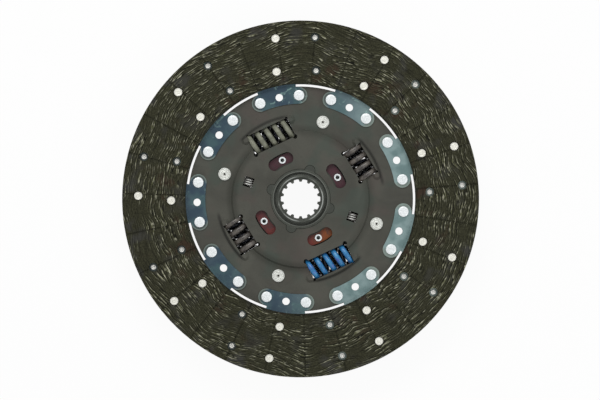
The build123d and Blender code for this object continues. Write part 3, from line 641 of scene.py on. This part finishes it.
turned_piece("stop_pin_set", "stop_pins", "disc", STOP_PIN)
turned_piece("idle_rivet_set", "idle_rivets", "flange", IDLE_RIVET)
turned_piece("front_facing_rivet_set", "front_facing_rivets", "disc", FACING_RIVET)
turned_piece("rear_facing_rivet_set", "rear_facing_rivets", "disc", REAR_FACING_RIVET)
turned_piece("segment_rivet_set", "segment_rivets", "disc", SEGMENT_RIVET)


WIRE_SIDES = 16
STEPS_PER_TURN = 40


def wire_rings(single, wire, mean_radius, hand, height_at, first, last):
    """Rings of corners along the wire of a coil that stands on the z axis."""
    rings = []
    steps = int((last - first) * STEPS_PER_TURN)
    for step in range(steps + 1):
        turns = first + (last - first) * step / steps
        turned = 2 * math.pi * turns * hand
        radial = Vector((math.cos(turned), math.sin(turned), 0))
        slope = (height_at(turns + 0.01) - height_at(turns - 0.01)) / 0.02
        rise = slope / (2 * math.pi * mean_radius)
        run = Vector((-radial.y * hand, radial.x * hand, rise)).normalized()
        side = run.cross(radial)
        centre = radial * mean_radius + Vector((0, 0, height_at(turns)))
        ring = []
        for corner in range(WIRE_SIDES):
            turn = 2 * math.pi * corner / WIRE_SIDES
            outward = radial * math.cos(turn) + side * math.sin(turn)
            ring.append(single.verts.new(centre + outward * wire / 2))
        rings.append(ring)
    return rings


def cut_flat(single, level):
    """Cuts a coil off past a level, above it or below it by its sign, and closes the wire there."""
    cut = bmesh.ops.bisect_plane(
        single,
        geom=list(single.verts) + list(single.edges) + list(single.faces),
        plane_co=(0, 0, level),
        plane_no=(0, 0, math.copysign(1, level)),
        clear_outer=True,
    )
    rim = [item for item in cut["geom_cut"] if isinstance(item, bmesh.types.BMEdge)]
    if not rim:
        return
    flat = bmesh.ops.triangle_fill(single, use_beauty=True, edges=rim)
    for item in flat["geom"]:
        if isinstance(item, bmesh.types.BMFace):
            item.smooth = False
    for edge in rim:
        edge.smooth = False


def coil(shape, middle, angle, length, wire, mean_radius, hand, wound):
    """Adds a coil spring with flat ends, lying along its window at an angle round the disc.

    wound is a function that gives the wire's place along the spring for a number of turns, and the
    first and the last turn.
    """
    single = bmesh.new()
    layer = single.loops.layers.uv.verify()
    rings = wire_rings(single, wire, mean_radius, hand, *wound)
    for first, second in zip(rings, rings[1:]):
        for corner in range(WIRE_SIDES):
            after = (corner + 1) % WIRE_SIDES
            face = single.faces.new((first[corner], first[after], second[after], second[corner]))
            face.smooth = True
            for loop, place in zip(face.loops, (corner, after, after, corner)):
                loop[layer].uv = (0.5 + 0.5 * math.cos(2 * math.pi * place / WIRE_SIDES), 0)
    single.faces.new(rings[0])
    single.faces.new(rings[-1])
    for side in (-1, 1):
        cut_flat(single, side * length / 2)
    out = Vector((math.cos(math.radians(angle)), math.sin(math.radians(angle)), 0))
    ahead = Vector((-out.y, out.x, 0))
    down = Vector((0, 0, -1))
    place = Matrix((
        (out.x, down.x, ahead.x, middle[0]),
        (out.y, down.y, ahead.y, middle[1]),
        (out.z, down.z, ahead.z, middle[2]),
        (0, 0, 0, 1),
    ))
    bmesh.ops.transform(single, matrix=place, verts=single.verts)
    copy = bpy.data.meshes.new("coil")
    single.to_mesh(copy)
    single.free()
    shape.from_mesh(copy)
    bpy.data.meshes.remove(copy)


def winding(length, wire, pitch, phase, hand, ripple):
    """A winding of even pitch, and its first and last turn. It starts and ends past the flat ends.

    The ripple, in millimetres, slants the coils as seen from the front.
    """
    run = length + 2 * wire

    def height_at(turns):
        seen = math.cos(2 * math.pi * turns) * ripple
        return pitch * (turns - hand * phase / 360) - run / 2 + seen

    first = hand * phase / 360
    return height_at, first, first + run / pitch


def spring_piece(name, node, slot, body, coils):
    """The coil springs that replace a node, each given as coil wants it."""
    shape = bmesh.new()
    for spring in coils:
        coil(shape, *spring)
    piece(name, shape, slot, body, node)


# The windows: radius and height of their middles, and the springs' lengths and angles in them
SPRING_RADIUS, SPRING_LEVEL = 63.75, 24.15
LARGE_LENGTH, SMALL_LENGTH = 40.4, 30.8
LARGE_ANGLES = (115.1, 294.9)
SMALL_ANGLES = (31.4, 211.6)

# Thickness of the wire, mean radius of the coils, pitch, ripple and phase of the main springs
WIRE, MEAN_RADIUS = 5.2, 9.9
LARGE_PITCH, LARGE_RIPPLE = 8.5, 0.3
SMALL_PITCH, SMALL_RIPPLE = 8.6, -0.8
OLIVE_PHASE, BLUE_PHASE = -127.0, -68.0
SMALL_PHASES = (-50.0, 0.0)

# The inner springs, one in each main spring, and the idle springs in openings of their own
INNER_WIRE, INNER_MEAN_RADIUS, INNER_PITCH = 2.5, 5.65, 5.6
IDLE_RADIUS, IDLE_LEVEL = 49.9, 27.55
IDLE_ANGLES = (162.1, 341.0)
IDLE_LENGTH, IDLE_WIRE, IDLE_MEAN_RADIUS, IDLE_PITCH = 8.8, 1.2, 4.2, 2.1
IDLE_RUN = IDLE_LENGTH - IDLE_WIRE
RIGHT_HAND, LEFT_HAND = 1, -1


def on_disc(radius, angle, height):
    return (radius * math.cos(math.radians(angle)), radius * math.sin(math.radians(angle)), height)


def main_coil(angle, length, pitch, phase, ripple):
    place = on_disc(SPRING_RADIUS, angle, SPRING_LEVEL)
    wound = winding(length, WIRE, pitch, phase, RIGHT_HAND, ripple)
    return (place, angle, length, WIRE, MEAN_RADIUS, RIGHT_HAND, wound)


def inner_coil(angle, length):
    place = on_disc(SPRING_RADIUS, angle, SPRING_LEVEL)
    wound = winding(length, INNER_WIRE, INNER_PITCH, 0.0, LEFT_HAND, 0.0)
    return (place, angle, length, INNER_WIRE, INNER_MEAN_RADIUS, LEFT_HAND, wound)


def idle_coil(angle):
    place = on_disc(IDLE_RADIUS, angle, IDLE_LEVEL)
    wound = (lambda turns: IDLE_PITCH * turns - IDLE_RUN / 2, 0.0, IDLE_RUN / IDLE_PITCH)
    return (place, angle, IDLE_LENGTH, IDLE_WIRE, IDLE_MEAN_RADIUS, RIGHT_HAND, wound)


olive_coil = main_coil(LARGE_ANGLES[0], LARGE_LENGTH, LARGE_PITCH, OLIVE_PHASE, LARGE_RIPPLE)
blue_coil = main_coil(LARGE_ANGLES[1], LARGE_LENGTH, LARGE_PITCH, BLUE_PHASE, LARGE_RIPPLE)
small_coils = []
for angle, phase in zip(SMALL_ANGLES, SMALL_PHASES):
    small_coils.append(main_coil(angle, SMALL_LENGTH, SMALL_PITCH, phase, SMALL_RIPPLE))
inner_coils = [inner_coil(angle, LARGE_LENGTH) for angle in LARGE_ANGLES]
inner_coils += [inner_coil(angle, SMALL_LENGTH) for angle in SMALL_ANGLES]
idle_coils = [idle_coil(angle) for angle in IDLE_ANGLES]
spring_piece("olive_coil", "large_spring_olive", "olive_spring", "disc", [olive_coil])
spring_piece("blue_coil", "large_spring_blue", "blue_spring", "disc", [blue_coil])
spring_piece("small_coils", "small_springs", "black_spring", "disc", small_coils)
spring_piece("idle_coils", "idle_springs", "plain_steel", "flange", idle_coils)
spring_piece("inner_coils", "inner_springs", "navy_spring", "disc", inner_coils)


# Camera, straight above, at the distance where one pixel of the picture is PIXEL wide on the facing,
# in metres. AXIS_PIXEL is where the disc's axis is in the picture.
FRAME_WIDTH, FRAME_HEIGHT = 600, 400
PIXEL = 0.9105 * MM
AXIS_PIXEL = (300.58, 198.91)
SENSOR = 36.0
LENS = 100.0
camera_data = bpy.data.cameras.new("camera")
camera_data.lens = LENS
camera_data.sensor_width = SENSOR
camera_data.clip_end = 20.0
camera = bpy.data.objects.new("camera", camera_data)
bpy.context.scene.collection.objects.link(camera)
face_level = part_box("front_facing")[1].z
camera.location = (
    (FRAME_WIDTH / 2 - AXIS_PIXEL[0]) * PIXEL,
    (AXIS_PIXEL[1] - FRAME_HEIGHT / 2) * PIXEL,
    face_level + FRAME_WIDTH * PIXEL * LENS / SENSOR,
)
bpy.context.scene.camera = camera

# Where the lamps point, in metres
DISC_CENTRE = Vector((0, 0, 0.03))


def lamp(name, place, size, power):
    """A soft lamp that points at the disc, its place and size in metres and its power in watts."""
    data = bpy.data.lights.new(name, "AREA")
    data.shape = "RECTANGLE"
    data.size, data.size_y = size
    data.energy = power
    light = bpy.data.objects.new(name, data)
    bpy.context.scene.collection.objects.link(light)
    light.location = place
    light.rotation_euler = (DISC_CENTRE - Vector(place)).to_track_quat("-Z", "Y").to_euler()


lamp("key", (-0.25, 1.1, 1.25), (1.4, 0.7), 14)
lamp("fill", (0.9, -0.5, 1.3), (0.9, 0.9), 4.5)


def seen_rays(tree):
    """1 for the rays that show the surroundings, to the camera or in gloss and glass, 0 for the rest."""
    path = tree.nodes.new("ShaderNodeLightPath")
    share = path.outputs["Is Camera Ray"]
    for name in ("Is Glossy Ray", "Is Transmission Ray"):
        both = tree.nodes.new("ShaderNodeMath")
        both.operation = "MAXIMUM"
        tree.links.new(share, both.inputs[0])
        tree.links.new(path.outputs[name], both.inputs[1])
        share = both.outputs[0]
    return share


# The floor: its grey, the share of white glow that the camera sees on it, and half its side in metres
FLOOR_GREY = 0.86
FLOOR_GLOW = 0.94
FLOOR_HALF = 4.0


def white_floor():
    """A pale floor that looks white and keeps some of the shadow."""
    material = bpy.data.materials.new("white_floor")
    material.use_nodes = True
    tree = material.node_tree
    tree.nodes.clear()
    output = tree.nodes.new("ShaderNodeOutputMaterial")
    diffuse = tree.nodes.new("ShaderNodeBsdfDiffuse")
    diffuse.inputs["Color"].default_value = (FLOOR_GREY, FLOOR_GREY, FLOOR_GREY, 1)
    glow = tree.nodes.new("ShaderNodeEmission")
    glow.inputs["Color"].default_value = (1, 1, 1, 1)
    glow.inputs["Strength"].default_value = 1.0
    share = tree.nodes.new("ShaderNodeMath")
    share.operation = "MULTIPLY"
    share.inputs[1].default_value = FLOOR_GLOW
    tree.links.new(seen_rays(tree), share.inputs[0])
    mix = tree.nodes.new("ShaderNodeMixShader")
    tree.links.new(share.outputs[0], mix.inputs[0])
    tree.links.new(diffuse.outputs[0], mix.inputs[1])
    tree.links.new(glow.outputs[0], mix.inputs[2])
    tree.links.new(mix.outputs[0], output.inputs[0])
    shape = bmesh.new()
    sides = ((-1, -1), (1, -1), (1, 1), (-1, 1))
    corners = [shape.verts.new((x * FLOOR_HALF, y * FLOOR_HALF, cad_low.z)) for x, y in sides]
    shape.faces.new(corners)
    mesh = bpy.data.meshes.new("floor")
    shape.to_mesh(mesh)
    shape.free()
    mesh.materials.append(material)
    floor = bpy.data.objects.new("floor", mesh)
    bpy.context.scene.collection.objects.link(floor)


# Strength of the surroundings as a light, and as they are seen
ROOM_LIGHT = 0.5
SEEN_WHITE = 1.0


def studio_world():
    """Soft light from all round, dimmer than the white that the camera and the metal see."""
    world = bpy.data.worlds.new("studio")
    bpy.context.scene.world = world
    world.use_nodes = True
    tree = world.node_tree
    background = tree.nodes["Background"]
    background.inputs["Color"].default_value = (1.0, 1.0, 1.0, 1)
    strength = tree.nodes.new("ShaderNodeMapRange")
    strength.inputs["To Min"].default_value = ROOM_LIGHT
    strength.inputs["To Max"].default_value = SEEN_WHITE
    tree.links.new(seen_rays(tree), strength.inputs["Value"])
    tree.links.new(strength.outputs[0], background.inputs["Strength"])


white_floor()
studio_world()
bpy.context.scene.view_settings.view_transform = "Standard"
